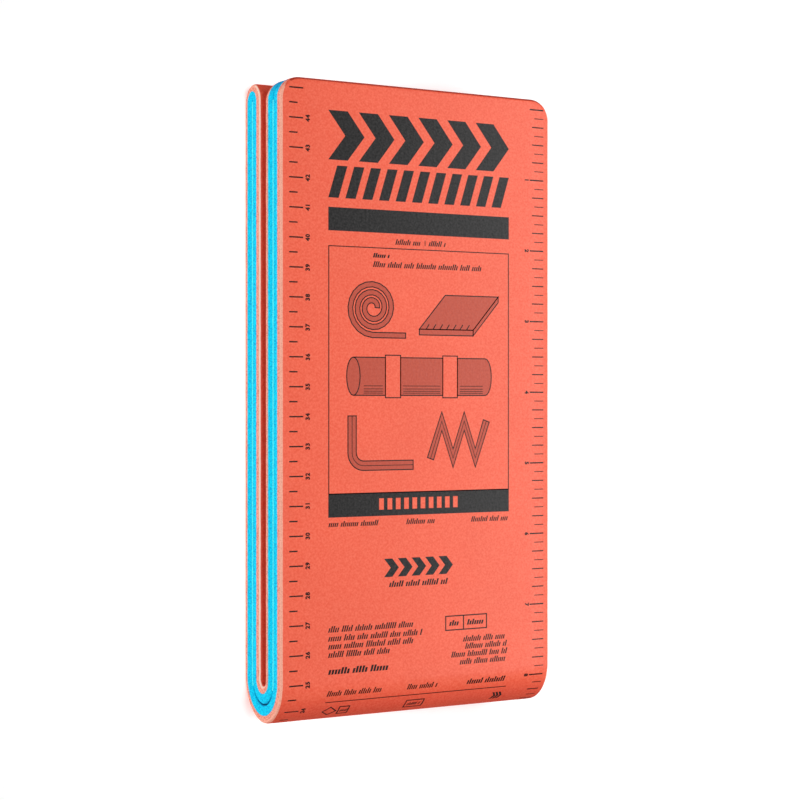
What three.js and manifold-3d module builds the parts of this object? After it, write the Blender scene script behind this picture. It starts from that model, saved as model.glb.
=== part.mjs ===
// Aluminium foam splint: a padded metal strip, folded in half and then in half again.
// Millimetres. X runs across the strip, Y along the folded legs with the closed fold at -Y, Z is up.
// The splint lies on its back: Z = 0 is the outer face of the back leg, and the front leg is on top.
import * as THREE from 'three';
import Module from 'manifold-3d';

const wasm = await Module();
wasm.setup();

// Driving sizes of the strip
const stripWidth = 108;
const orangeThickness = 2.5;
const blueThickness = 3.33;
const coreThickness = 0.4;
const coreInset = 6; // from each edge and each end of the strip to the metal
const layerGap = 0.12; // between one layer and the next

// Driving sizes of the folded shape
const foldedLength = 218.1; // from the closed fold to the top of the hairpin
const endSetback = 0.1; // the two free ends lie this far short of the hairpin's top
const slit = 0.34; // between the two blue faces inside a leg
const legGap = 3.95; // between the two legs
const foldHeight = 14.9; // length of the round outer fold, along Y
const gapEndHeight = 2.15; // length of the round end of the gap, along Y
const hairpinHeight = 6.4; // length of the round top of the back leg, along Y
const slitEndHeight = 0.5; // length of the round end of the slit inside the hairpin

// Roundings
const endCornerRadius = 7.5; // the strip's four corners, seen flat
const coreCornerRadius = 5;
const orangeEdgeRadius = 1; // between the orange face and the cut edge
const blueEdgeRadius = 0.5; // between the blue face and the cut edge
const edgeCrown = 0.25; // how far the middle of the cut edge stands out past its two sides

// Steps that round stretches are divided into
const foldSteps = 22;
const gapEndSteps = 16;
const hairpinSteps = 14;
const cornerSteps = 7;
const edgeSteps = 3;

// Sizes that follow
const stripThickness = orangeThickness + layerGap + blueThickness;
const legThickness = 2 * stripThickness + slit;
const foldedDepth = 2 * legThickness + legGap;
const foldY = -foldedLength / 2 + foldHeight; // where the legs end and the closed fold begins
const hairpinY = foldedLength / 2 - hairpinHeight; // where the back leg ends and the hairpin begins
const freeEndY = foldedLength / 2 - endSetback;

// A depth into the strip is measured from its orange face. Each function below gives the place of that depth
// as [y, z]: first on the straight legs, then round the bends, whose depths are nested half ellipses.
function mix(from, to, share) {
  return from + (to - from) * share;
}

function outerFront(y) {
  return (depth) => [y, foldedDepth - depth];
}

function innerFront(y) {
  return (depth) => [y, foldedDepth - legThickness + depth];
}

// Both bends at -Y belong to one nest of ellipses that runs from the outer face in to the gap.
function foldHalfHeight(distanceIn) {
  return mix(foldHeight, gapEndHeight, distanceIn / legThickness);
}

function foldPlace(distanceIn, angle) {
  const halfDepth = foldedDepth / 2 - distanceIn;
  const y = foldY - foldHalfHeight(distanceIn) * Math.sin(angle);
  const z = foldedDepth / 2 + halfDepth * Math.cos(angle);
  return [y, z];
}

function outerFold(angle) {
  return (depth) => foldPlace(depth, angle);
}

function innerFold(angle) {
  return (depth) => foldPlace(legThickness - depth, angle);
}

function hairpin(angle) {
  return (depth) => {
    const halfDepth = legThickness / 2 - depth;
    const height = mix(hairpinHeight, slitEndHeight, depth / stripThickness);
    const y = hairpinY + height * Math.sin(angle);
    const z = legThickness / 2 - halfDepth * Math.cos(angle);
    return [y, z];
  };
}

// How far the strip's edge lies inside its widest line at a depth: its rounded corners and its crown
function cornerLoss(distanceIn, radius) {
  const short = Math.max(radius - distanceIn, 0);
  return radius - Math.sqrt(radius * radius - short * short);
}

function edgeLoss(depth) {
  const crownLoss = edgeCrown * ((2 * depth) / stripThickness - 1) ** 2;
  return crownLoss + cornerLoss(depth, orangeEdgeRadius) + cornerLoss(stripThickness - depth, blueEdgeRadius);
}

// Stations along the strip, from the outer free end to the inner one. Each turns a depth and the loss at the
// edge there into half a width and a place. inset holds a layer back from the strip's edges and ends.
function cornerStations(leg, inset, radius) {
  const stations = [];
  for (let step = 0; step <= cornerSteps; step += 1) {
    const angle = (step / cornerSteps) * (Math.PI / 2);
    stations.push((depth, loss) => {
      const corner = radius - loss;
      const fromEnd = inset + loss + corner * (1 - Math.cos(angle));
      const fromSide = inset + loss + corner * (1 - Math.sin(angle));
      return [stripWidth / 2 - fromSide, ...leg(freeEndY - fromEnd)(depth)];
    });
  }
  return stations;
}

function bendStations(bend, steps, inset) {
  const stations = [];
  for (let step = 0; step <= steps; step += 1) {
    const place = bend((step / steps) * Math.PI);
    stations.push((depth, loss) => [stripWidth / 2 - inset - loss, ...place(depth)]);
  }
  return stations;
}

function stripStations(inset, cornerRadius) {
  return [
    ...cornerStations(outerFront, inset, cornerRadius),
    ...bendStations(outerFold, foldSteps, inset),
    ...bendStations(hairpin, hairpinSteps, inset),
    ...bendStations(innerFold, gapEndSteps, inset).reverse(),
    ...cornerStations(innerFront, inset, cornerRadius).reverse(),
  ];
}

// A closed solid between two depths of the strip. depths holds every depth that has a line of vertices, in
// order, and lossAt gives the loss at the edge for each.
function layer(stations, depths, lossAt) {
  const rows = depths.length;
  const vertices = [];
  for (const station of stations) {
    const places = depths.map((depth) => station(depth, lossAt(depth)));
    const left = places.map(([halfWidth, y, z]) => [-halfWidth, y, z]);
    const right = places.reverse();
    vertices.push(...left, ...right);
  }
  const ring = 2 * rows;
  const lastRing = (stations.length - 1) * ring;
  const triangles = [];
  for (let start = 0; start < lastRing; start += ring) {
    for (let side = 0; side < ring; side += 1) {
      const next = (side + 1) % ring;
      triangles.push(start + side, start + next, start + ring + next);
      triangles.push(start + side, start + ring + next, start + ring + side);
    }
  }
  for (let row = 0; row + 1 < rows; row += 1) {
    const across = ring - 1 - row;
    triangles.push(row, across, across - 1, row, across - 1, row + 1);
    const [near, far] = [lastRing + row, lastRing + across];
    triangles.push(near, near + 1, far - 1, near, far - 1, far);
  }
  const vertProperties = new Float32Array(vertices.flat());
  return new wasm.Manifold(new wasm.Mesh({ numProp: 3, vertProperties, triVerts: new Uint32Array(triangles) }));
}

// Depths with a line of vertices on the cut edge, from the orange face to the blue one
function edgeDepths() {
  const depths = [];
  for (let step = 0; step <= edgeSteps; step += 1) {
    const share = 1 - Math.cos((step / edgeSteps) * (Math.PI / 2));
    depths.push(orangeEdgeRadius * share, stripThickness - blueEdgeRadius * share);
  }
  return depths;
}

function foamLayer(fromDepth, toDepth) {
  const between = edgeDepths().filter((depth) => depth > fromDepth && depth < toDepth);
  const depths = [fromDepth, ...between, toDepth].sort((one, other) => one - other);
  return layer(stripStations(0, endCornerRadius), depths, edgeLoss);
}

function sheet(inset, cornerRadius, fromDepth, toDepth) {
  return layer(stripStations(inset, cornerRadius), [fromDepth, toDepth], () => 0);
}

function toMesh(name, solid, material) {
  const { vertProperties, triVerts } = solid.getMesh();
  const geometry = new THREE.BufferGeometry();
  geometry.setAttribute('position', new THREE.BufferAttribute(vertProperties, 3));
  geometry.setIndex(new THREE.BufferAttribute(triVerts, 1));
  geometry.computeVertexNormals();
  const mesh = new THREE.Mesh(geometry, material);
  mesh.name = name;
  return mesh;
}

// Orange foam: the face layer, on the outside of the closed fold and of the hairpin
function orangeFoam() {
  return foamLayer(0, orangeThickness);
}

// Aluminium core: a thin sheet that keeps the shape that the strip is bent to
const coreTop = orangeThickness + layerGap;
const coreBottom = coreTop + coreThickness;

function aluminiumCore() {
  return sheet(coreInset, coreCornerRadius, coreTop, coreBottom);
}

// Blue foam: the layer on the other side, with a shallow pocket for the core
function blueFoam() {
  const pocketInset = coreInset - layerGap;
  const pocketRadius = coreCornerRadius + layerGap;
  const pocket = sheet(pocketInset, pocketRadius, coreTop - layerGap, coreBottom + layerGap);
  return foamLayer(coreTop, stripThickness).subtract(pocket);
}

const orangeMaterial = new THREE.MeshStandardMaterial({ color: 0xee6a54, roughness: 0.85, metalness: 0 });
const blueMaterial = new THREE.MeshStandardMaterial({ color: 0x15c4ea, roughness: 0.85, metalness: 0 });
const coreMaterial = new THREE.MeshStandardMaterial({ color: 0xc4c6c8, roughness: 0.35, metalness: 1 });

const splint = new THREE.Group();
splint.add(toMesh('orange_foam', orangeFoam(), orangeMaterial));
splint.add(toMesh('aluminium_core', aluminiumCore(), coreMaterial));
splint.add(toMesh('blue_foam', blueFoam(), blueMaterial));

export default splint;
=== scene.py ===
# Aluminium foam splint, folded in half and in half again. It lies on its back, printed face up.
# Metres, in the solids' own frame: X runs across the strip, Y along the legs with the closed fold
# at -Y, and Z is up.
import math
import random
from collections import namedtuple

import bpy
import bmesh
import numpy as np
from mathutils import Matrix, Vector


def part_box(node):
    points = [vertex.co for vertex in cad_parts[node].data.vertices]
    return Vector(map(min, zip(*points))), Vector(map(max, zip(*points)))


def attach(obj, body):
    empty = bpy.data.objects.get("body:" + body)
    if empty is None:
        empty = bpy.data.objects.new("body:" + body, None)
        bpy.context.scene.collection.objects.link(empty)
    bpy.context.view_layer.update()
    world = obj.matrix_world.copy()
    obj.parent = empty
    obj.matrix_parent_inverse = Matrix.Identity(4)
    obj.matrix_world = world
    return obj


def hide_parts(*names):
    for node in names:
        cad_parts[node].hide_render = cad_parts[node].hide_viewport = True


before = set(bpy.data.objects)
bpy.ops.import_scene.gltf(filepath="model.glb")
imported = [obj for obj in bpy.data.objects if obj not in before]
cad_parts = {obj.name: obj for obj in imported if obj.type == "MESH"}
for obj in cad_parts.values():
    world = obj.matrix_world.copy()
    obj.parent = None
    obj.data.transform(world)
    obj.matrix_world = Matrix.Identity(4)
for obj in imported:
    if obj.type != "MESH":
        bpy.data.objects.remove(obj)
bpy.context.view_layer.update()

# Sizes below are in millimetres, and this turns them into metres
MM = 0.001

# The strip's layers and roundings, as the solids have them
ORANGE_THICKNESS = 2.5
BLUE_THICKNESS = 3.33
CORE_THICKNESS = 0.4
CORE_INSET = 6  # from the strip's edges to the metal
LAYER_GAP = 0.12
SLIT = 0.34  # between the two blue faces inside a leg
FOLD_HEIGHT = 14.9  # length of the round outer fold, along Y
GAP_END_HEIGHT = 2.15  # length of the round end of the gap, along Y
HAIRPIN_HEIGHT = 6.4  # length of the round top of the back leg, along Y
SLIT_END_HEIGHT = 0.5  # length of the round end of the slit inside the hairpin
END_SETBACK = 0.1  # the free ends lie this far short of the hairpin's top
END_CORNER_RADIUS = 7.5
ORANGE_EDGE_RADIUS = 1
BLUE_EDGE_RADIUS = 0.5
EDGE_CROWN = 0.25

# The overall sizes come from the frame
foam_low, foam_high = (Vector(corner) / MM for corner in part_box("orange_foam"))
STRIP_WIDTH = foam_high.x - foam_low.x
FOLDED_DEPTH = foam_high.z - foam_low.z
STRIP_THICKNESS = ORANGE_THICKNESS + LAYER_GAP + BLUE_THICKNESS
LEG_THICKNESS = 2 * STRIP_THICKNESS + SLIT
FOLD_Y = foam_low.y + FOLD_HEIGHT
HAIRPIN_Y = foam_high.y - HAIRPIN_HEIGHT
FREE_END_Y = foam_high.y - END_SETBACK

# Fineness of the dressed foam
LEG_STEP = 2
BEND_STEPS = 44
CORNER_STEPS = 14
EDGE_STEPS = 5  # round each rounded edge
CROWN_STEPS = 7  # down the rest of the cut edge
FACE_COLUMNS = 12
EDGE_SPACING = 0.82  # below 1, the rows round the orange edge lie further apart next to its face
SHARP_ANGLE = math.radians(45)

# Colours round the orange edge, counted in its EDGE_STEPS from the face
SKIN_SEGMENTS = 1  # so many carry the face's skin
INNER_SKIN_SEGMENTS = 2  # and so many where the edge faces the gap,
GAP_HIGHLIGHT_SEGMENTS = 4  # with a painted highlight, lighter than elsewhere on the edge, from there up to this one
HAIRPIN_LIP_TURN = math.radians(110)  # from here round the hairpin, its edge faces the gap
SKIN_END_TURN = math.radians(28)  # up to here round a free end's corner, a rim of skin with painted shade covers them all
SKIN_SIDE_TURN = math.radians(60)  # and from here on, the skin covers no more than along the legs

# The slit between the blue faces
SLIT_PRESS = 0.11  # on the straight legs each blue face is pressed this much nearer to the other
SLIT_HIGHLIGHT_SEGMENTS = 4  # of the EDGE_STEPS next to the slit, those with a painted highlight
SLIT_BEND = 0.65  # where straightness falls below this, the slit stands open and its lips get no painted highlight
SEAM = 0.01  # half of the line between the two foams

# The cut edge's small wander in and out
RIPPLE = 0.035
RIPPLE_LENGTHS = (3.1, 5.3, 9.7, 23.0)
RIPPLE_ROWS = 3  # so many rows of the edge wander together


def mix(start, end, share):
    return start + (end - start) * share


# Where a depth into the strip, measured from its orange face, lies on each stretch, as (y, z)
def fold_place(distance_in, angle):
    half_depth = FOLDED_DEPTH / 2 - distance_in
    height = mix(FOLD_HEIGHT, GAP_END_HEIGHT, distance_in / LEG_THICKNESS)
    return FOLD_Y - height * math.sin(angle), FOLDED_DEPTH / 2 + half_depth * math.cos(angle)


def hairpin_place(depth, angle):
    half_depth = LEG_THICKNESS / 2 - depth
    height = mix(HAIRPIN_HEIGHT, SLIT_END_HEIGHT, depth / STRIP_THICKNESS)
    return HAIRPIN_Y + height * math.sin(angle), LEG_THICKNESS / 2 - half_depth * math.cos(angle)


STRETCHES = {
    "outer_front": lambda depth, y: (y + 0 * depth, FOLDED_DEPTH - depth),
    "outer_fold": fold_place,
    "outer_back": lambda depth, y: (y + 0 * depth, depth),
    "hairpin": hairpin_place,
    "inner_back": lambda depth, y: (y + 0 * depth, LEG_THICKNESS - depth),
    "inner_fold": lambda depth, angle: fold_place(LEG_THICKNESS - depth, angle),
    "inner_front": lambda depth, y: (y + 0 * depth, FOLDED_DEPTH - LEG_THICKNESS + depth),
}


# A station lies at a place along a stretch: a Y on a leg, or an angle round a bend. Round a free
# end's corners it has the angle round them instead, counted from the end inwards.
Station = namedtuple("Station", "stretch place corner_angle", defaults=[None])


def corner_stations(stretch):
    angles = [step / CORNER_STEPS * math.pi / 2 for step in range(CORNER_STEPS + 1)]
    return [Station(stretch, None, angle) for angle in angles]


def leg_stations(stretch, start, end):
    steps = math.ceil(abs(end - start) / LEG_STEP)
    return [Station(stretch, mix(start, end, step / steps)) for step in range(1, steps)]


def bend_stations(stretch, start, end):
    shares = [step / BEND_STEPS for step in range(BEND_STEPS + 1)]
    return [Station(stretch, mix(start, end, share)) for share in shares]


def strip_stations():
    corner_y = FREE_END_Y - END_CORNER_RADIUS
    return [
        *corner_stations("outer_front"),
        *leg_stations("outer_front", corner_y, FOLD_Y),
        *bend_stations("outer_fold", 0, math.pi),
        *leg_stations("outer_back", FOLD_Y, HAIRPIN_Y),
        *bend_stations("hairpin", 0, math.pi),
        *leg_stations("inner_back", HAIRPIN_Y, FOLD_Y),
        *bend_stations("inner_fold", math.pi, 0),
        *leg_stations("inner_front", FOLD_Y, corner_y),
        *corner_stations("inner_front")[::-1],
    ]


def corner_loss(distance_in, radius):
    short = np.maximum(radius - distance_in, 0)
    return radius - np.sqrt(radius * radius - short * short)


def edge_loss(depth):
    """How far the cut edge lies inside the strip's widest line at a depth."""
    crown = EDGE_CROWN * (2 * depth / STRIP_THICKNESS - 1) ** 2
    blue_corner = corner_loss(STRIP_THICKNESS - depth, BLUE_EDGE_RADIUS)
    return crown + corner_loss(depth, ORANGE_EDGE_RADIUS) + blue_corner


def ripples(distance, seed, size):
    """A small smooth wander along the strip that is the same each run."""
    draw = random.Random(seed)
    total = np.zeros_like(distance)
    for length in RIPPLE_LENGTHS:
        total += np.sin(distance * 2 * math.pi / length + draw.uniform(0, 2 * math.pi))
    return size * total / 2


def layer_rows(start, end, start_radius, end_radius):
    """Depths of the lines of vertices down a layer's cut edge."""
    shares = [step / EDGE_STEPS for step in range(1, EDGE_STEPS + 1)]
    rows = {start, end}
    if start_radius:
        turns = [math.pi / 2 * share ** EDGE_SPACING for share in shares]
        rows.update(start + start_radius * (1 - math.cos(turn)) for turn in turns)
    if end_radius:
        turns = [share * math.pi / 2 for share in shares]
        rows.update(end - end_radius * (1 - math.cos(turn)) for turn in turns)
    inner_start, inner_end = start + start_radius, end - end_radius
    rows.update(mix(inner_start, inner_end, step / CROWN_STEPS) for step in range(CROWN_STEPS + 1))
    return sorted(rows)


def straightness(station):
    """1 on the straight legs, and down to 0 in the middle of a bend."""
    in_bend = "fold" in station.stretch or station.stretch == "hairpin"
    return 1 - math.sin(station.place) if in_bend else 1


def station_points(station, shares, depths, wander, press):
    """The places round the strip at one station. press is how far each sinks on a straight leg."""
    stretch, place, angle = station
    loss = edge_loss(depths)
    half = STRIP_WIDTH / 2 - loss
    pressed = depths + press * straightness(station)
    if angle is None:
        y, z = STRETCHES[stretch](pressed, place)
    else:
        corner = END_CORNER_RADIUS - loss
        half = half - corner * (1 - math.sin(angle))
        y, z = STRETCHES[stretch](pressed, FREE_END_Y - loss - corner * (1 - math.cos(angle)))
    x = shares * half + np.where(np.abs(shares) == 1, shares * wander, 0)
    return np.stack([x, y + 0 * x, z + 0 * x], axis=1)


def new_object(name, mesh):
    piece = bpy.data.objects.new(name, mesh)
    bpy.context.collection.objects.link(piece)
    return piece


def faces_gap(station):
    past_hairpin = station.stretch == "hairpin" and station.place > HAIRPIN_LIP_TURN
    return station.stretch.startswith("inner") or past_hairpin


def skin_segments(station):
    """How many segments round the orange edge carry skin at a station."""
    segments = INNER_SKIN_SEGMENTS if faces_gap(station) else SKIN_SEGMENTS
    angle = station.corner_angle
    if angle is None or angle > SKIN_SIDE_TURN:
        return segments
    share = max(0, (angle - SKIN_END_TURN) / (SKIN_SIDE_TURN - SKIN_END_TURN))
    return round(mix(EDGE_STEPS, segments, share))


# A foam layer's material slots. The orange layer has them all, the blue one the first three.
SKIN, CUT, HIGHLIGHT_LIP, SHADED_END_RIM, HIGHLIGHT_GAP_LIP = range(5)


def orange_edge_slot(row, skin_rows, at_gap):
    if row >= skin_rows:
        # past the skin, the rounded edge carries a painted highlight
        return HIGHLIGHT_GAP_LIP if at_gap and row < GAP_HIGHLIGHT_SEGMENTS else HIGHLIGHT_LIP
    # round a free end, the skin past its first row is a rim with painted shade
    return SHADED_END_RIM if row and skin_rows == EDGE_STEPS else SKIN


def layer_ring(rows, start, end):
    """One turn round a layer, as (share of half the width, depth): the first edge, the side at
    end, the other edge and the side at start."""
    across = [2 * column / FACE_COLUMNS - 1 for column in range(1, FACE_COLUMNS)]
    ring = [(-1, depth) for depth in rows]
    ring += [(share, end) for share in across]
    ring += [(1, depth) for depth in reversed(rows)]
    ring += [(share, start) for share in reversed(across)]
    return ring


def layer_points(name, stations, ring, start, end, pressed):
    """The layer's places at each station. Where it is pressed, the side at end sinks the most."""
    shares = np.array([share for share, _ in ring], float)
    depths = np.array([depth for _, depth in ring], float)
    press = SLIT_PRESS * (depths - start) / (end - start) if pressed else 0 * depths
    first_places = [station_points(station, shares, depths, 0, press)[0] for station in stations]
    steps = np.linalg.norm(np.diff(first_places, axis=0), axis=1)
    distance = np.concatenate([[0], np.cumsum(steps)])
    seeds = [f"{name}{place // RIPPLE_ROWS}" for place in range(len(ring))]
    wander = np.stack([ripples(distance, seed, RIPPLE) for seed in seeds], axis=1)
    return [station_points(station, shares, depths, own, press)
            for station, own in zip(stations, wander)]


def layer_faces(stations, edge_rows, start_rounded, end_rounded):
    """Quads along the strip and flat caps at its two ends, and the material slot of each."""
    other_edge = edge_rows + FACE_COLUMNS  # where the ring comes to the other edge, and leaves it
    other_end = other_edge + edge_rows
    count = other_end + FACE_COLUMNS

    def edge_slot(row, skin_rows, straight, at_gap):
        if start_rounded and row < EDGE_STEPS:
            return orange_edge_slot(row, skin_rows, at_gap)
        # on the straight legs the slit's lips carry a painted highlight
        pressed = end_rounded and straight and row >= edge_rows - SLIT_HIGHLIGHT_SEGMENTS
        return HIGHLIGHT_LIP if pressed else CUT

    faces, slots = [], []
    for i, (station, follower) in enumerate(zip(stations, stations[1:])):
        skin_rows = max(skin_segments(station), skin_segments(follower))
        straight = station.corner_angle is None and straightness(station) > SLIT_BEND
        for side in range(count):
            a, b = i * count + side, i * count + (side + 1) % count
            faces.append((a, b, b + count, a + count))
            if side < edge_rows:
                slots.append(edge_slot(side, skin_rows, straight, faces_gap(station)))
            elif other_edge <= side < other_end:
                row = other_end - 1 - side
                slots.append(edge_slot(row, skin_rows, straight, faces_gap(station)))
            else:
                slots.append(SKIN)
    last = (len(stations) - 1) * count
    for base, turn in ((0, -1), (last, 1)):
        for row in range(edge_rows):
            far = other_end - row
            loop = [row, row + 1, far - 1, far]
            if row == edge_rows - 1:
                loop[2:2] = range(edge_rows + 1, other_edge)
            if row == 0:
                loop += range(far + 1, count)
            faces.append(tuple(base + corner for corner in loop[::turn]))
            slots.append(edge_slot(row, EDGE_STEPS, False, False))
    return faces, slots


def foam_layer(name, start, end, start_radius, end_radius, pocket=None):
    """A closed foam layer between two depths. pocket is how much deeper its side at start lies
    over the core."""
    rows = layer_rows(start, end, start_radius, end_radius)
    ring = layer_ring(rows, start, end)
    stations = strip_stations()
    points = layer_points(name, stations, ring, start, end, pressed=end_radius > 0)
    if pocket:
        points = cut_pocket(points, stations, ring, start, pocket)
    vertices = np.concatenate(points) * MM
    faces, slots = layer_faces(stations, len(rows) - 1, start_radius > 0, end_radius > 0)
    mesh = bpy.data.meshes.new(name)
    mesh.from_pydata(vertices.tolist(), [], faces)
    mesh.polygons.foreach_set("material_index", slots)
    mesh.polygons.foreach_set("use_smooth", [True] * len(faces))
    mesh.set_sharp_from_angle(angle=SHARP_ANGLE)
    mesh.validate()
    return new_object(name, mesh)


def cut_pocket(points, stations, ring, start, pocket):
    """Sinks the columns over the core, between steep walls, so that the core has its room."""
    reach = STRIP_WIDTH / 2 - CORE_INSET + LAYER_GAP
    sunk = []
    for (stretch, place, angle), places in zip(stations, points):
        places = places.copy()
        for k, (share, depth) in enumerate(ring):
            over_core = angle is None and abs(share) < 1 and abs(places[k, 0]) < reach
            if over_core and depth == start:
                places[k, 1:] = STRETCHES[stretch](start + pocket, place)
        sunk.append(places)
    return sunk


# Node materials. The skin turns matt round a bend, and painted shade deepens its colour there as it
# turns away from the light, so the stops of these two tables go by how far it is turned along the
# strip, from 0 on the faces to 1.
SATIN_STOPS = ((0.4, 0.34), (0.8, 1.0))  # roughness
TURN_SHADE_STOPS = (  # linear tint of painted shade
    (0.3, (1.0, 1.0, 1.0)),
    (0.5, (0.95, 0.79, 0.74)),
    (0.66, (0.9, 0.68, 0.63)),
    (1.0, (0.8, 0.57, 0.5)),
)
GRAIN_LOW = (0.94, 0.78, 0.74)  # the skin's fine grain, as linear shares of its colour
GRAIN_HIGH = (1.03, 1.2, 1.26)
MIX_INPUTS = (0, 6, 7)  # a colour mix's factor and its two colours, among its sockets of all kinds
MIX_OUTPUT = 2


class Nodes:
    """A short way to add nodes to a material and join them."""

    def __init__(self, name):
        self.material = bpy.data.materials.new(name)
        self.material.use_nodes = True
        self.tree = self.material.node_tree
        self.shader = self.tree.nodes["Principled BSDF"]
        self.place = self.add("ShaderNodeTexCoord").outputs["Object"]

    def add(self, kind, **values):
        node = self.tree.nodes.new(kind)
        for key, value in values.items():
            setattr(node, key, value)
        return node

    def join(self, source, target):
        self.tree.links.new(source, target)

    def colour(self, source):
        self.join(source, self.shader.inputs["Base Color"])

    def noise(self, scale, detail, rough=0.6, stretch=None):
        node = self.add("ShaderNodeTexNoise")
        node.inputs["Scale"].default_value = scale
        node.inputs["Detail"].default_value = detail
        node.inputs["Roughness"].default_value = rough
        place = self.place
        if stretch:
            mapping = self.add("ShaderNodeMapping")
            mapping.inputs["Scale"].default_value = stretch
            self.join(place, mapping.inputs["Vector"])
            place = mapping.outputs["Vector"]
        self.join(place, node.inputs["Vector"])
        return node.outputs["Fac"]

    def cells(self, scale):
        node = self.add("ShaderNodeTexVoronoi")
        node.inputs["Scale"].default_value = scale
        self.join(self.place, node.inputs["Vector"])
        return node.outputs["Distance"]

    def ramp(self, value, stops):
        node = self.add("ShaderNodeValToRGB")
        ramp = node.color_ramp
        while len(ramp.elements) < len(stops):
            ramp.elements.new(0.5)
        for element, (position, colour) in zip(ramp.elements, stops):
            element.position = position
            element.color = (*colour, 1)
        self.join(value, node.inputs["Fac"])
        return node.outputs["Color"]

    def times(self, first, second):
        """The product of two colours."""
        node = self.add("ShaderNodeMix", data_type="RGBA", blend_type="MULTIPLY")
        factor, colour_a, colour_b = (node.inputs[i] for i in MIX_INPUTS)
        factor.default_value = 1.0
        self.join(first, colour_a)
        self.join(second, colour_b)
        return node.outputs[MIX_OUTPUT]

    def turned_along(self):
        """How far the surface faces along the strip, 0 to 1."""
        split = self.add("ShaderNodeSeparateXYZ")
        self.join(self.add("ShaderNodeTexCoord").outputs["Normal"], split.inputs[0])
        size = self.add("ShaderNodeMath", operation="ABSOLUTE")
        self.join(split.outputs["Y"], size.inputs[0])
        return size.outputs[0]

    def skin_finish(self, specular, relief=1100, depth=0.00006):
        """The skin's faint satin and its fine relief."""
        self.shader.inputs["Specular IOR Level"].default_value = specular
        stops = [(turn, (rough,) * 3) for turn, rough in SATIN_STOPS]
        self.join(self.ramp(self.turned_along(), stops), self.shader.inputs["Roughness"])
        self.bump(self.noise(relief, detail=4, rough=0.7), depth, strength=0.6)

    def bump(self, height, distance, strength):
        node = self.add("ShaderNodeBump")
        node.inputs["Strength"].default_value = strength
        node.inputs["Distance"].default_value = distance
        self.join(height, node.inputs["Height"])
        self.join(node.outputs["Normal"], self.shader.inputs["Normal"])


def srgb(code):
    """Linear colour of a six-digit hex code."""
    parts = [int(code[i:i + 2], 16) / 255 for i in (0, 2, 4)]
    return tuple(p / 12.92 if p <= 0.04045 else ((p + 0.055) / 1.055) ** 2.4 for p in parts)


def tint(colour, share):
    """The colour times one share, or times one for each channel."""
    shares = share if isinstance(share, tuple) else (share,) * 3
    return tuple(min(1.0, part * own) for part, own in zip(colour, shares))


def skin_material(name, colour):
    """The foam's fine matt skin: a close grain, deeper and lighter in turn, over faint clouds, with
    painted shade where it turns along the strip.
    """
    nodes = Nodes(name)
    grain = nodes.noise(scale=1400, detail=1)
    clouds = nodes.noise(scale=45, detail=3)
    grained = nodes.ramp(grain, [(0.3, tint(colour, GRAIN_LOW)), (0.7, tint(colour, GRAIN_HIGH))])
    clouded = nodes.ramp(clouds, [(0.3, (0.95, 0.95, 0.95)), (0.7, (1.0, 1.0, 1.0))])
    # painted shade: deeper where the surface faces along the strip, round the bends and at the ends
    turn_shade = nodes.ramp(nodes.turned_along(), TURN_SHADE_STOPS)
    nodes.colour(nodes.times(nodes.times(grained, clouded), turn_shade))
    nodes.skin_finish(specular=0.14)
    return nodes.material


def cut_material(name, colour, speck, end_shade_tint):
    """The foam where it is cut: open cells with specks, and painted shade deepening it over the
    free ends.
    """
    nodes = Nodes(name)
    cells = nodes.cells(scale=2500)
    grain = nodes.noise(scale=2400, detail=1)
    celled = nodes.ramp(cells, [(0.1, (0.9, 0.9, 0.9)), (0.42, (1.03, 1.03, 1.03))])
    specked = nodes.ramp(grain, [(0.37, speck), (0.51, colour), (0.7, tint(colour, 1.05))])
    # painted shade: darker where the cut faces along the strip, over the free ends
    ends = nodes.ramp(nodes.turned_along(), [(0.25, (1.0, 1.0, 1.0)), (0.95, end_shade_tint)])
    nodes.colour(nodes.times(nodes.times(specked, celled), ends))
    nodes.shader.inputs["Roughness"].default_value = 0.9
    nodes.shader.inputs["Specular IOR Level"].default_value = 0.1
    nodes.bump(cells, distance=0.0001, strength=0.6)
    return nodes.material


def ink_material(name, colour, light):
    """Printing ink that shows the skin's grain through it."""
    nodes = Nodes(name)
    grain = nodes.noise(scale=1300, detail=3)
    nodes.colour(nodes.ramp(grain, [(0.3, colour), (0.8, light)]))
    nodes.skin_finish(specular=0.12, relief=600, depth=0.00018)
    return nodes.material


def metal_material(name):
    """Rolled aluminium sheet with fine lines along the strip."""
    nodes = Nodes(name)
    lines = nodes.noise(scale=2500, detail=2, stretch=(1.0, 0.02, 0.02))
    nodes.colour(nodes.ramp(lines, [(0.3, (0.68, 0.69, 0.7)), (0.7, (0.84, 0.85, 0.86))]))
    nodes.shader.inputs["Metallic"].default_value = 1.0
    nodes.shader.inputs["Roughness"].default_value = 0.38
    nodes.bump(lines, distance=0.00002, strength=0.4)
    return nodes.material


# The print, drawn in millimetres on the flat strip: x is counted from the strip's middle line, and
# s along the outer face from the line where the print starts.
PRINT_START = 0.7  # from the free end to s = 0
INK_HEIGHT = 0.035
TONE_HEIGHT = 0.015  # the half tone lies under the ink's lines
INK_SINK = 0.02
FOLD_PIECE = 0.7  # on the fold, strokes are cut into pieces no longer than this
MITRE_LIMIT = 0.4  # sharper corners than this cosine get blunter mitres
FLAT_LENGTH = FREE_END_Y - PRINT_START - FOLD_Y
ARC_SAMPLES = 400
arc_angles = np.linspace(0, math.pi, ARC_SAMPLES)
arc_y = FOLD_HEIGHT * np.sin(arc_angles)
arc_z = FOLDED_DEPTH / 2 * np.cos(arc_angles)
arc_lengths = np.concatenate([[0], np.cumsum(np.hypot(np.diff(arc_y), np.diff(arc_z)))])
FOLD_LENGTH = arc_lengths[-1]


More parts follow.
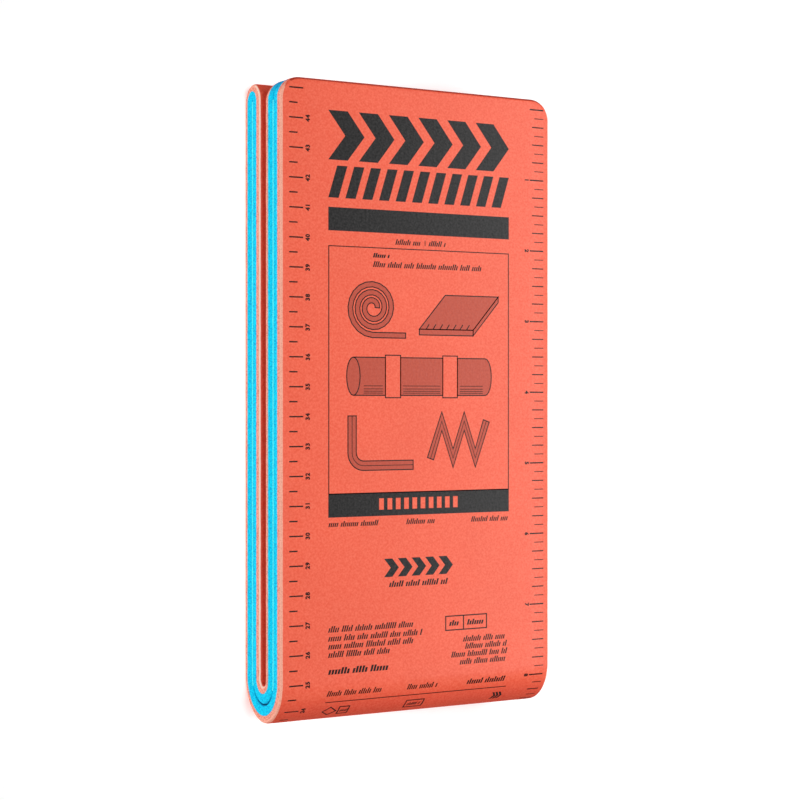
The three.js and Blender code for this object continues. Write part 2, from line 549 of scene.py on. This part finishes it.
def on_face(x, s, lift):
    """The place of a point of the print, a lift above the outer face."""
    if s <= FLAT_LENGTH:
        return x, FREE_END_Y - PRINT_START - s, FOLDED_DEPTH + lift
    if s >= FLAT_LENGTH + FOLD_LENGTH:
        return x, FOLD_Y + s - FLAT_LENGTH - FOLD_LENGTH, -lift
    angle = np.interp(s - FLAT_LENGTH, arc_lengths, arc_angles)
    normal = np.array([-math.sin(angle) / FOLD_HEIGHT, math.cos(angle) / (FOLDED_DEPTH / 2)])
    normal /= np.linalg.norm(normal)
    y = FOLD_Y - FOLD_HEIGHT * math.sin(angle) + lift * normal[0]
    z = FOLDED_DEPTH / 2 * (1 + math.cos(angle)) + lift * normal[1]
    return x, y, z


def refined(points, closed):
    """The same line, with more points where it lies on the fold."""
    ends = list(zip(points, points[1:] + points[:1])) if closed else list(zip(points, points[1:]))
    line = []
    for (x0, s0), (x1, s1) in ends:
        on_fold = max(s0, s1) > FLAT_LENGTH
        steps = math.ceil(abs(s1 - s0) / FOLD_PIECE) if on_fold and s0 != s1 else 1
        line += [(mix(x0, x1, step / steps), mix(s0, s1, step / steps)) for step in range(steps)]
    return line if closed else line + [points[-1]]


def sides_of(points, width, closed):
    """The two lines that run half a width to either side of a line, with mitred corners."""
    line = [Vector(point) for point in points]
    count = len(line)
    left, right = [], []
    for i in range(count):
        before = line[i - 1] if i or closed else None
        after = line[(i + 1) % count] if i + 1 < count or closed else None
        sides = []
        for start, end in ((before, line[i]), (line[i], after)):
            if start is not None and end is not None:
                along = (end - start).normalized()
                sides.append(Vector((-along.y, along.x)))
        normal = sum(sides, Vector((0, 0))).normalized()
        reach = width / 2 / max(MITRE_LIMIT, normal.dot(sides[0]))
        left.append(tuple(line[i] + normal * reach))
        right.append(tuple(line[i] - normal * reach))
    return left, right


def corners_of(across, along):
    (x0, x1), (s0, s1) = across, along
    return [(x0, s0), (x1, s0), (x1, s1), (x0, s1)]


class Print:
    """Collects flat shapes and makes them into one mesh of thin closed slabs."""

    def __init__(self, height):
        self.height = height
        self.vertices = []
        self.faces = []

    def slab(self, points, faces, edges):
        """Adds faces over points, their undersides, and walls along edges, which go round with
        the faces."""
        base, count = len(self.vertices), len(points)
        for lift in (self.height, -INK_SINK):
            self.vertices += [on_face(x, s, lift) for x, s in points]
        self.faces += [tuple(base + corner for corner in face) for face in faces]
        self.faces += [tuple(base + count + corner for corner in reversed(face)) for face in faces]
        self.faces += [(base + b, base + a, base + count + a, base + count + b) for a, b in edges]

    def fill(self, points):
        count = len(points)
        self.slab(points, [tuple(range(count))], [(i, (i + 1) % count) for i in range(count)])

    def bar(self, across, along):
        self.fill(corners_of(across, along))

    def stroke(self, points, width, closed=False):
        points = refined(points, closed)
        left, right = sides_of(points, width, closed)
        count = len(points)
        faces, edges = [], []
        for i in range(count if closed else count - 1):
            j = (i + 1) % count
            faces.append((i, j, count + j, count + i))
            edges += [(i, j), (count + j, count + i)]
        if not closed:
            edges += [(count, 0), (count - 1, 2 * count - 1)]
        self.slab(left + right, faces, edges)

    def frame(self, across, along, width):
        self.stroke(corners_of(across, along), width, closed=True)

    def glyph(self, shape, x, s, up):
        """A flat mesh of figures whose tops face the strip's edge on the side up, 1 or -1."""
        points, faces, edges = shape
        self.slab([(x + up * py, s + up * px) for px, py in points], faces, edges)

    def make(self, name, material):
        mesh = bpy.data.meshes.new(name)
        mesh.from_pydata([tuple(c * MM for c in v) for v in self.vertices], [], self.faces)
        piece = new_object(name, mesh)
        work = bmesh.new()
        work.from_mesh(mesh)
        bmesh.ops.recalc_face_normals(work, faces=work.faces)
        work.to_mesh(mesh)
        work.free()
        mesh.materials.append(material)
        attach(piece, "root")


FIGURE_HEIGHT = 1.55
CAP_SHARE = 0.73  # height of a figure as a share of the type's size
FIGURE_BOLD = 0.05
FIGURE_SPACING = 1.14
FIGURE_CURVE_STEPS = 3
FIGURE_SLICE = 0.5  # figures are cut across this often, so that they bend with the fold
SAME_PLACE = 1e-4


def figures(text):
    """The flat outline of a number, centred on the origin: points, triangles and outer edges."""
    type_curve = bpy.data.curves.new("figures", "FONT")
    type_curve.body = text
    type_curve.size = FIGURE_HEIGHT / CAP_SHARE
    type_curve.offset = FIGURE_BOLD * type_curve.size
    type_curve.space_character = FIGURE_SPACING
    type_curve.resolution_u = FIGURE_CURVE_STEPS
    holder = new_object("figures", type_curve)
    mesh = bpy.data.meshes.new_from_object(holder)
    work = bmesh.new()
    work.from_mesh(mesh)
    bmesh.ops.remove_doubles(work, verts=work.verts, dist=SAME_PLACE)
    bmesh.ops.dissolve_degenerate(work, edges=work.edges, dist=SAME_PLACE)
    low = min(v.co.x for v in work.verts)
    high = max(v.co.x for v in work.verts)
    for cut in np.arange(low + FIGURE_SLICE, high, FIGURE_SLICE):
        parts = work.verts[:] + work.edges[:] + work.faces[:]
        bmesh.ops.bisect_plane(work, geom=parts, plane_co=(cut, 0, 0), plane_no=(1, 0, 0))
    work.verts.index_update()
    points = np.array([v.co[:2] for v in work.verts])
    centre = (points.min(axis=0) + points.max(axis=0)) / 2
    faces = [tuple(v.index for v in face.verts) for face in work.faces]
    edges = []
    for face in work.faces:
        for loop in face.loops:
            if loop.edge.is_boundary:
                edges.append((loop.vert.index, loop.link_loop_next.vert.index))
    work.free()
    bpy.data.objects.remove(holder)
    bpy.data.curves.remove(type_curve)
    bpy.data.meshes.remove(mesh)
    return [tuple(p) for p in points - centre], faces, edges


# The centimetre scale along one edge and the inch scale along the other
TICK_STROKE = 0.46
CM = 10
INCH = 25.4
CM_ZERO = 453.15  # where the centimetre scale would read 0
INCH_ZERO = 3.2
CM_EDGE_X = -50.8
CM_TICKS = {"whole": -45.6, "half": -47.7}
CM_FIGURE_X = -43.9
INCH_EDGE_X = 51.35
INCH_TICKS = {"whole": 45.5, "quarter": 46.5, "eighth": 47.5}
INCH_STROKES = {"whole": 1, "quarter": 0.85, "eighth": 0.6}  # shares of TICK_STROKE
INCH_FIGURE_X = 44.2
BACK_END = FLAT_LENGTH + FOLD_LENGTH + HAIRPIN_Y - FOLD_Y  # s where the back leg's flat face ends


def scale_print():
    ink = Print(INK_HEIGHT)
    for half in range(1, int(CM_ZERO / CM * 2) + 1):
        s = CM_ZERO - half * CM / 2
        if s > BACK_END:
            continue
        whole = half % 2 == 0
        tick = CM_TICKS["whole" if whole else "half"]
        ink.bar((CM_EDGE_X, tick), (s - TICK_STROKE / 2, s + TICK_STROKE / 2))
        if whole and s > CM:
            ink.glyph(figures(str(half // 2)), CM_FIGURE_X, s, -1)
    for eighth in range(int((BACK_END - INCH_ZERO) / INCH * 8) + 1):
        s = INCH_ZERO + eighth * INCH / 8
        kind = "whole" if eighth % 8 == 0 else "quarter" if eighth % 2 == 0 else "eighth"
        stroke = TICK_STROKE * INCH_STROKES[kind]
        ink.bar((INCH_TICKS[kind], INCH_EDGE_X), (s - stroke / 2, s + stroke / 2))
        if kind == "whole" and eighth:
            ink.glyph(figures(str(eighth // 8)), INCH_FIGURE_X, s, 1)
    return ink


def chevrons(ink, across, along, count, stroke, lean):
    """A row of bold arrowheads that all point along +X. lean is how far each point stands out."""
    (x0, x1), (s0, s1) = across, along
    pitch = (x1 - x0 - stroke - lean) / (count - 1)
    middle = (s0 + s1) / 2
    for k in range(count):
        x = x0 + k * pitch
        tip = x + lean
        ink.fill([(x, s0), (x + stroke, s0), (x + stroke + lean, middle), (tip, middle)])
        ink.fill([(tip, middle), (x + stroke + lean, middle), (x + stroke, s1), (x, s1)])


def slants(ink, across, along, count, stroke, lean):
    (x0, x1), (s0, s1) = across, along
    pitch = (x1 - x0 - stroke - lean) / (count - 1)
    for k in range(count):
        x = x0 + k * pitch
        ink.fill([(x + lean, s0), (x + lean + stroke, s0), (x + stroke, s1), (x, s1)])


def band_marks(ink, across, along, count=10, pitch=3.3, width=1.9, margin=2.1):
    """A solid bar with a row of plain marks left bare in it."""
    (x0, x1), (s0, s1) = across, along
    marks_along = (s0 + margin, s1 - margin)
    first = -pitch * count / 2
    ink.bar(across, (s0, s0 + margin))
    ink.bar(across, (s1 - margin, s1))
    ink.bar((x0, first), marks_along)
    for k in range(count):
        x = first + k * pitch
        ink.bar((x + width, x + pitch), marks_along)
    ink.bar((first + count * pitch, x1), marks_along)


# The column of print down the middle of the front face
COLUMN = (-36.1, 36.5)


def heading_print():
    ink = Print(INK_HEIGHT)
    chevrons(ink, COLUMN, (9.7, 26.4), count=6, stroke=7.4, lean=6.5)
    slants(ink, COLUMN, (28.3, 39.2), count=11, stroke=3.9, lean=3.4)
    ink.bar(COLUMN, (42.4, 50.3))
    band_marks(ink, COLUMN, (139.2, 147.3))
    chevrons(ink, (-14.5, 13.1), (162.1, 168.4), count=5, stroke=3.2, lean=2.6)
    return ink


# Small print is rows of plain slants in groups, with these shares of a row's height
SLANT_STROKE = 0.23
SLANT_PITCH = 0.4
SLANT_LEAN = 0.3
SHORT_SLANT = 0.72
TALL_CHANCE = 0.35  # of a slant that takes the row's full height
GROUP_GAP = 0.45
GROUP_SLANTS = (5, 10)

SmallRow = namedtuple("SmallRow", "left right top height seed bold", defaults=[1.0])
SMALL_ROWS = (
    SmallRow(-10.1, 0.6, 52.2, 1.9, "left of the tick"),
    SmallRow(3.2, 10.7, 52.2, 1.9, "right of the tick"),
    SmallRow(-18.9, -11.9, 57.3, 1.55, "short row", 1.6),
    SmallRow(-18.9, 25.6, 60.1, 2.0, "long row"),
    SmallRow(-36.1, -15.7, 148.6, 1.9, "left row"),
    SmallRow(-5.8, 6.3, 148.6, 1.9, "middle row"),
    SmallRow(20.6, 36.4, 148.6, 1.9, "right row"),
    SmallRow(-12.6, 11.2, 169.8, 2.1, "middle line", 1.2),
    SmallRow(-36.2, -2.7, 184.0, 2.1, "left 184.0"),
    SmallRow(-36.2, 1.5, 187.0, 2.1, "left 187.0"),
    SmallRow(-36.2, -2.0, 189.7, 2.1, "left 189.7"),
    SmallRow(-36.2, -12.0, 192.5, 2.1, "left 192.5"),
    SmallRow(-36.2, -10.5, 198.1, 2.2, "bold", 1.6),
    SmallRow(11.6, 16.6, 184.8, 1.9, "left box", 1.5),
    SmallRow(18.9, 26.3, 184.8, 1.9, "right box", 1.5),
    SmallRow(17.3, 36.6, 190.5, 2.05, "right 190.5"),
    SmallRow(18.1, 36.6, 193.1, 2.05, "right 193.1"),
    SmallRow(12.4, 36.6, 195.8, 2.05, "right 195.8"),
    SmallRow(15.9, 36.6, 198.5, 2.05, "right 198.5"),
    SmallRow(-36.3, -14.7, 205.9, 2.0, "left foot"),
    SmallRow(-5.0, 8.0, 205.9, 2.0, "middle foot"),
    SmallRow(19.3, 36.6, 205.9, 2.0, "right foot", 1.3),
    SmallRow(-29.3, -26.3, 214.1, 1.4, "small box"),
    SmallRow(-2.8, 3.0, 214.1, 1.4, "wide box"),
)


def small_print(ink, row):
    draw = random.Random(row.seed)
    stroke = SLANT_STROKE * row.height * row.bold
    x = row.left
    group = draw.randint(*GROUP_SLANTS)
    while x < row.right - row.height * (SLANT_LEAN + SLANT_STROKE * row.bold):
        size = row.height if draw.random() < TALL_CHANCE else row.height * SHORT_SLANT
        lean = size * SLANT_LEAN
        low, high = row.top + row.height, row.top + row.height - size
        ink.fill([(x + lean, high), (x + lean + stroke, high), (x + stroke, low), (x, low)])
        x += row.height * (SLANT_PITCH + SLANT_STROKE * (row.bold - 1))
        group -= 1
        if group == 0:
            x += row.height * GROUP_GAP
            group = draw.randint(*GROUP_SLANTS)


# Thin lines on the front face
PANEL_LINE = 0.32  # the frame round the drawings, inside the column
PANEL_ALONG = (55.5, 139.4)
Line = namedtuple("Line", "points width")
Box = namedtuple("Box", "across along width")
TICK = Line(((1.8, 52.2), (1.8, 54.1)), 0.25)
BOX_DIVIDER = Line(((17.5, 183.4), (17.5, 188.1)), 0.4)
FOOT_RULE = Line(((-36.2, 210.3), (36.6, 210.3)), 0.3)
FOOT_RHOMBUS = Line(((-36.0, 214.8), (-33.4, 212.6), (-30.8, 214.8), (-33.4, 217.0)), 0.4)
BOXES = (
    Box((COLUMN[0] + PANEL_LINE / 2, COLUMN[1] - PANEL_LINE / 2), PANEL_ALONG, PANEL_LINE),
    Box((10.2, 27.1), (183.3, 188.2), 0.4),
    Box((-29.9, -26.1), (212.8, 216.8), 0.4),
    Box((-3.6, 3.5), (212.8, 216.8), 0.4),
)


# Small drawings inside the frame: the strip rolled up, flat, as a tube with two bands, bent square
# and pleated
OUTLINE = 0.36
HATCH = 0.22
STEPS_PER_TURN = 20
NOTCH = (1.2, -1.8)
TUBE_HATCHES = (0.5, 0.66, 0.78, 0.88)  # shares of the tube's half height
TUBE_HATCH_MARGIN = 1  # from a hatch to the bands
MOUTH_HATCH_MARGIN = 4  # and to the tube's left end


def at(centre, points):
    return [(centre[0] + x, centre[1] + s) for x, s in points]


def band(ink, tone, points, width):
    """A strip seen edge on: a half-tone band between two thin lines."""
    tone.stroke(points, width)
    left, right = sides_of(points, width, False)
    ink.stroke(left + right[::-1], OUTLINE, closed=True)


def outlined(ink, tone, points):
    tone.fill(points)
    ink.stroke(points, OUTLINE, closed=True)


def rolled_strip(ink, tone, centre, turns=2.75, inner=1.8, pitch=2.75, tail=13, width=1.8):
    count = round(turns * STEPS_PER_TURN)
    line = []
    for step in range(count + 1):
        angle = step / count * turns * 2 * math.pi
        radius = inner + pitch * angle / (2 * math.pi)
        line.append((radius * math.cos(angle), -radius * math.sin(angle)))
    line.append((line[-1][0] + tail, line[-1][1]))
    band(ink, tone, at(centre, line), width)


def flat_strip(ink, tone, centre, length=22, depth=12, lean=7, thickness=2, notches=7):
    back = [(lean - length / 2, -depth / 2), (lean + length / 2, -depth / 2)]
    front = [(-length / 2 - lean / 2, depth / 2), (length / 2 - lean / 2, depth / 2)]
    under = [(x, s + thickness) for x, s in front]
    back_under = (back[1][0], back[1][1] + thickness)
    outlined(ink, tone, at(centre, back + front[::-1]))
    outlined(ink, tone, at(centre, [front[0], front[1], under[1], under[0]]))
    outlined(ink, tone, at(centre, [front[1], back[1], back_under, under[1]]))
    for step in range(1, notches + 1):
        x = mix(front[0][0], front[1][0], step / (notches + 1))
        s = front[0][1]
        ink.stroke(at(centre, [(x, s), (x + NOTCH[0], s + NOTCH[1])]), OUTLINE)


def arc(radius_x, radius_s, start, end, steps=10):
    turns = [mix(start, end, step / steps) for step in range(steps + 1)]
    return [(radius_x * math.cos(turn), radius_s * math.sin(turn)) for turn in turns]


def banded_tube(ink, tone, centre, length=53, height=13, bands=(-11, 12), band_width=6):
    half, rise = length / 2, height / 2
    round_x, bulge = 2.6, 0.8  # of the tube's ends, and of the bands round it
    top, foot = -math.pi / 2, math.pi / 2
    right_end = [(half + x, s) for x, s in arc(round_x, rise, top, foot)]
    left_end = [(-half + x, s) for x, s in arc(round_x, rise, top, foot - 2 * math.pi)]
    mouth = [(-half + x, s) for x, s in arc(round_x, rise, top, foot)]
    cuts = sorted(edge for x in bands for edge in (x - band_width / 2, x + band_width / 2))
    outlined(ink, tone, at(centre, left_end + [(cuts[0], rise), (cuts[0], -rise)]))
    outlined(ink, tone, at(centre, corners_of((cuts[1], cuts[2]), (-rise, rise))))
    outlined(ink, tone, at(centre, [(cuts[3], -rise)] + right_end + [(cuts[3], rise)]))
    for ends in (cuts[:2], cuts[2:]):
        sheet = corners_of(ends, (-rise - bulge, rise + bulge))
        ink.stroke(at(centre, sheet), OUTLINE, closed=True)
    ink.stroke(at(centre, mouth), OUTLINE)
    starts = (-half + MOUTH_HATCH_MARGIN, cuts[1] + TUBE_HATCH_MARGIN, cuts[3] + TUBE_HATCH_MARGIN)
    ends = [end - TUBE_HATCH_MARGIN for end in (cuts[0], cuts[2], half)]
    for share in TUBE_HATCHES:
        for start, end in zip(starts, ends):
            ink.stroke(at(centre, [(start, rise * share), (end, rise * share)]), HATCH)


def square_strip(ink, tone, centre, rise=17, reach=24, corner=4.5, width=3.2):
    left, low = -reach / 2, rise / 2
    turn = arc(corner, corner, math.pi, math.pi / 2, steps=8)
    bend = [(left + corner + x, low - corner + s) for x, s in turn]
    line = [(left, low - rise)] + bend + [(left + reach, low)]
    band(ink, tone, at(centre, line), width)
    ink.stroke(at(centre, line), HATCH)


def pleated_strip(ink, tone, centre, folds=5, reach=23, rise=13, width=2.6):
    across = [mix(-reach / 2, reach / 2, k / folds) for k in range(folds + 1)]
    line = [(x, (-1) ** k * rise / 2) for k, x in enumerate(across)]
    band(ink, tone, at(centre, line), width)
    ink.stroke(at(centre, line), HATCH)


def panel_print():
    ink, tone = Print(INK_HEIGHT), Print(TONE_HEIGHT)
    for row in SMALL_ROWS:
        small_print(ink, row)
    for box in BOXES:
        ink.frame(*box)
    for line in (TICK, BOX_DIVIDER, FOOT_RULE):
        ink.stroke(list(line.points), line.width)
    ink.stroke(list(FOOT_RHOMBUS.points), FOOT_RHOMBUS.width, closed=True)
    chevrons(ink, (31.8, 36.4), (212.8, 216.6), count=3, stroke=0.9, lean=1.1)
    rolled_strip(ink, tone, (-19, 76))
    flat_strip(ink, tone, (14, 77))
    banded_tube(ink, tone, (0, 99.5))
    square_strip(ink, tone, (-15, 121.5))
    pleated_strip(ink, tone, (15.5, 121.5))
    return ink, tone


# Colours as they look under white light, and colours that carry painted highlights and shade, as
# noted
CORAL = srgb("f0664c")
# painted shade: a darker skin for the rim round the free ends
CORAL_RIM_SHADE = srgb("c04835")
PEACH = srgb("f4a48e")
BLUE = srgb("10a8d8")
BLUE_CUT = srgb("00d4f4")
INK = srgb("151515")
# the bold ink's lighter grey: the skin's grain through it, and partly painted sheen
BOLD_INK_GRAIN_AND_SHEEN = srgb("363434")
FINE_INK = srgb("120c0b")
FINE_INK_LIGHT = srgb("261b19")
TONE = srgb("b34b3a")
TONE_LIGHT = srgb("c35744")
PEACH_SPECK = srgb("d8715f")
# painted highlights on the orange edge's rounding, the second one lighter where the edge faces the
# gap
PEACH_LIP_HIGHLIGHT = srgb("f9b29c")
PEACH_GAP_LIP_HIGHLIGHT = srgb("ffddcb")
BLUE_SPECK = srgb("049ad6")
PEACH_END_SHADE = (0.85, 0.6, 0.55)  # linear tints of painted shade over the free ends
BLUE_END_SHADE = (0.5, 0.4, 0.62)
# painted highlight on the blue slit's lips, and its specks
BLUE_HIGHLIGHT_SPECK = srgb("58ecfc")
BLUE_LIP_HIGHLIGHT = srgb("70ffff")


def orange_foam():
    end = ORANGE_THICKNESS + LAYER_GAP / 2 - SEAM
    piece = foam_layer("orange_foam_layer", 0, end, ORANGE_EDGE_RADIUS, 0)
    for material in (
        skin_material("coral_skin", CORAL),
        cut_material("coral_cut", PEACH, PEACH_SPECK, PEACH_END_SHADE),
        # painted highlight on the rounded edge past the skin
        cut_material("coral_lip_highlight", PEACH_LIP_HIGHLIGHT, PEACH, PEACH_END_SHADE),
        # skin with painted shade, for the rim round the free ends
        skin_material("coral_rim_shade", CORAL_RIM_SHADE),
        # painted highlight on the edge where it faces the gap
        cut_material("coral_gap_lip_highlight", PEACH_GAP_LIP_HIGHLIGHT, PEACH_GAP_LIP_HIGHLIGHT, PEACH_END_SHADE),
    ):
        piece.data.materials.append(material)
    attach(piece, "root")
    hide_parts("orange_foam")


def blue_foam():
    start = ORANGE_THICKNESS + LAYER_GAP / 2 + SEAM
    core_room = CORE_THICKNESS + 2 * LAYER_GAP
    piece = foam_layer("blue_foam_layer", start, STRIP_THICKNESS, 0, BLUE_EDGE_RADIUS, core_room)
    for material in (
        skin_material("blue_skin", BLUE),
        cut_material("blue_cut", BLUE_CUT, BLUE_SPECK, BLUE_END_SHADE),
        # painted highlight on the slit's lips
        cut_material("blue_lip_highlight", BLUE_LIP_HIGHLIGHT, BLUE_HIGHLIGHT_SPECK, BLUE_END_SHADE),
    ):
        piece.data.materials.append(material)
    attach(piece, "root")
    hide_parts("blue_foam")


def metal_core():
    core = bpy.data.objects["aluminium_core"]
    core.data.materials.clear()
    core.data.materials.append(metal_material("rolled_aluminium"))


def printing():
    fine_ink = ink_material("fine_ink", FINE_INK, FINE_INK_LIGHT)
    scale_print().make("scale_print", fine_ink)
    # the bold ink is lighter than the fine ink by a painted sheen
    heading_print().make("heading_print", ink_material("bold_ink_and_sheen", INK, BOLD_INK_GRAIN_AND_SHEEN))
    panel_ink, panel_tone = panel_print()
    panel_ink.make("panel_print", fine_ink)
    panel_tone.make("panel_tone", ink_material("print_tone", TONE, TONE_LIGHT))


# Camera, floor and light
PHOTO_PIXELS = 800
FOCAL_PIXELS = 1836.4
SENSOR_MM = 36
CAMERA_AZIMUTH = math.radians(29.83)
CAMERA_DISTANCE = 633.2
CAMERA_TARGET = Vector((-8.24, 0.66, FOLDED_DEPTH))


def make_camera():
    away = Vector((-math.sin(CAMERA_AZIMUTH), 0, math.cos(CAMERA_AZIMUTH)))
    data = bpy.data.cameras.new("camera")
    data.sensor_width = SENSOR_MM
    data.lens = FOCAL_PIXELS / PHOTO_PIXELS * SENSOR_MM
    data.clip_start = 0.01
    camera = new_object("camera", data)
    up = Vector((0, 1, 0))
    turn = Matrix((up.cross(away), up, away)).transposed()
    place = (CAMERA_TARGET + away * CAMERA_DISTANCE) * MM
    camera.matrix_world = Matrix.Translation(place) @ turn.to_4x4()
    bpy.context.scene.camera = camera


FLOOR_HALF = 3.0
FLOOR_DROP = 0.05 * MM  # clears the print on the back face
PAPER_WHITE = 0.94
PAPER_GRAIN = 0.01
PAPER_FAR = 0.6  # the paper turns to pale grey away from the object
PAPER_FADE = (0.25, 0.5)  # from and to this distance from the middle, in metres
# The paper glows where the object's shadow falls, painted light like a light table's that fills the
# shadow
# and also lights the object: place along X in metres, and strength
GLOW_STOPS = (
    (-0.30, 0.05),
    (-0.13, 0.15),
    (-0.10, 0.47),
    (-0.03, 0.47),
    (0.02, 0.22),
    (0.12, 0.04),
)
GLOW_SPAN = 0.4


def make_floor():
    mesh = bpy.data.meshes.new("floor")
    corners = [(-1, -1), (1, -1), (1, 1), (-1, 1)]
    places = [(x * FLOOR_HALF, y * FLOOR_HALF, -FLOOR_DROP) for x, y in corners]
    mesh.from_pydata(places, [], [(0, 1, 2, 3)])
    floor = new_object("floor", mesh)
    nodes = Nodes("floor_paper")
    grain = nodes.noise(scale=60, detail=2)
    low, high = PAPER_WHITE - PAPER_GRAIN, PAPER_WHITE + PAPER_GRAIN
    paper = nodes.ramp(grain, [(0.3, (low, low, low)), (0.7, (high, high, high))])
    distance = nodes.add("ShaderNodeVectorMath", operation="LENGTH")
    nodes.join(nodes.place, distance.inputs[0])
    far = PAPER_FAR / PAPER_WHITE
    fade_stops = [(PAPER_FADE[0], (1, 1, 1)), (PAPER_FADE[1], (far, far, far))]
    nodes.colour(nodes.times(paper, nodes.ramp(distance.outputs["Value"], fade_stops)))
    nodes.shader.inputs["Roughness"].default_value = 0.95
    nodes.shader.inputs["Specular IOR Level"].default_value = 0.1
    split = nodes.add("ShaderNodeSeparateXYZ")
    nodes.join(nodes.place, split.inputs[0])
    across = nodes.add("ShaderNodeMapRange")
    across.inputs["From Min"].default_value = -GLOW_SPAN
    across.inputs["From Max"].default_value = GLOW_SPAN
    nodes.join(split.outputs["X"], across.inputs["Value"])
    stops = [((x + GLOW_SPAN) / (2 * GLOW_SPAN), (glow, glow, glow)) for x, glow in GLOW_STOPS]
    # painted light: the floor's glow fills the object's shadow
    nodes.join(nodes.ramp(across.outputs["Result"], stops), nodes.shader.inputs["Emission Color"])
    nodes.shader.inputs["Emission Strength"].default_value = 1.0
    mesh.materials.append(nodes.material)


def area_light(name, place, along_y, across, power):
    """A soft light in the plane y = 0 that faces the object."""
    data = bpy.data.lights.new(name, "AREA")
    data.shape = "RECTANGLE"
    data.size = along_y
    data.size_y = across
    data.energy = power
    light = new_object(name, data)
    light.location = place
    light.rotation_euler = Vector(place).to_track_quat("Z", "Y").to_euler()


AMBIENT = 0.12


def make_light():
    area_light("overhead", (-0.12, 0.0, 1.5), along_y=0.6, across=0.6, power=8)
    area_light("sheen", (0.38, 0.0, 0.45), along_y=0.62, across=0.12, power=2.75)
    area_light("side", (-1.5, 0.0, 0.4), along_y=0.8, across=0.5, power=10)
    world = bpy.data.worlds.new("studio")
    world.use_nodes = True
    background = world.node_tree.nodes["Background"]
    background.inputs["Color"].default_value = (1, 1, 1, 1)
    background.inputs["Strength"].default_value = AMBIENT
    bpy.context.scene.world = world
    bpy.context.scene.view_settings.view_transform = "Standard"


make_camera()
make_floor()
make_light()
orange_foam()
blue_foam()
metal_core()
printing()
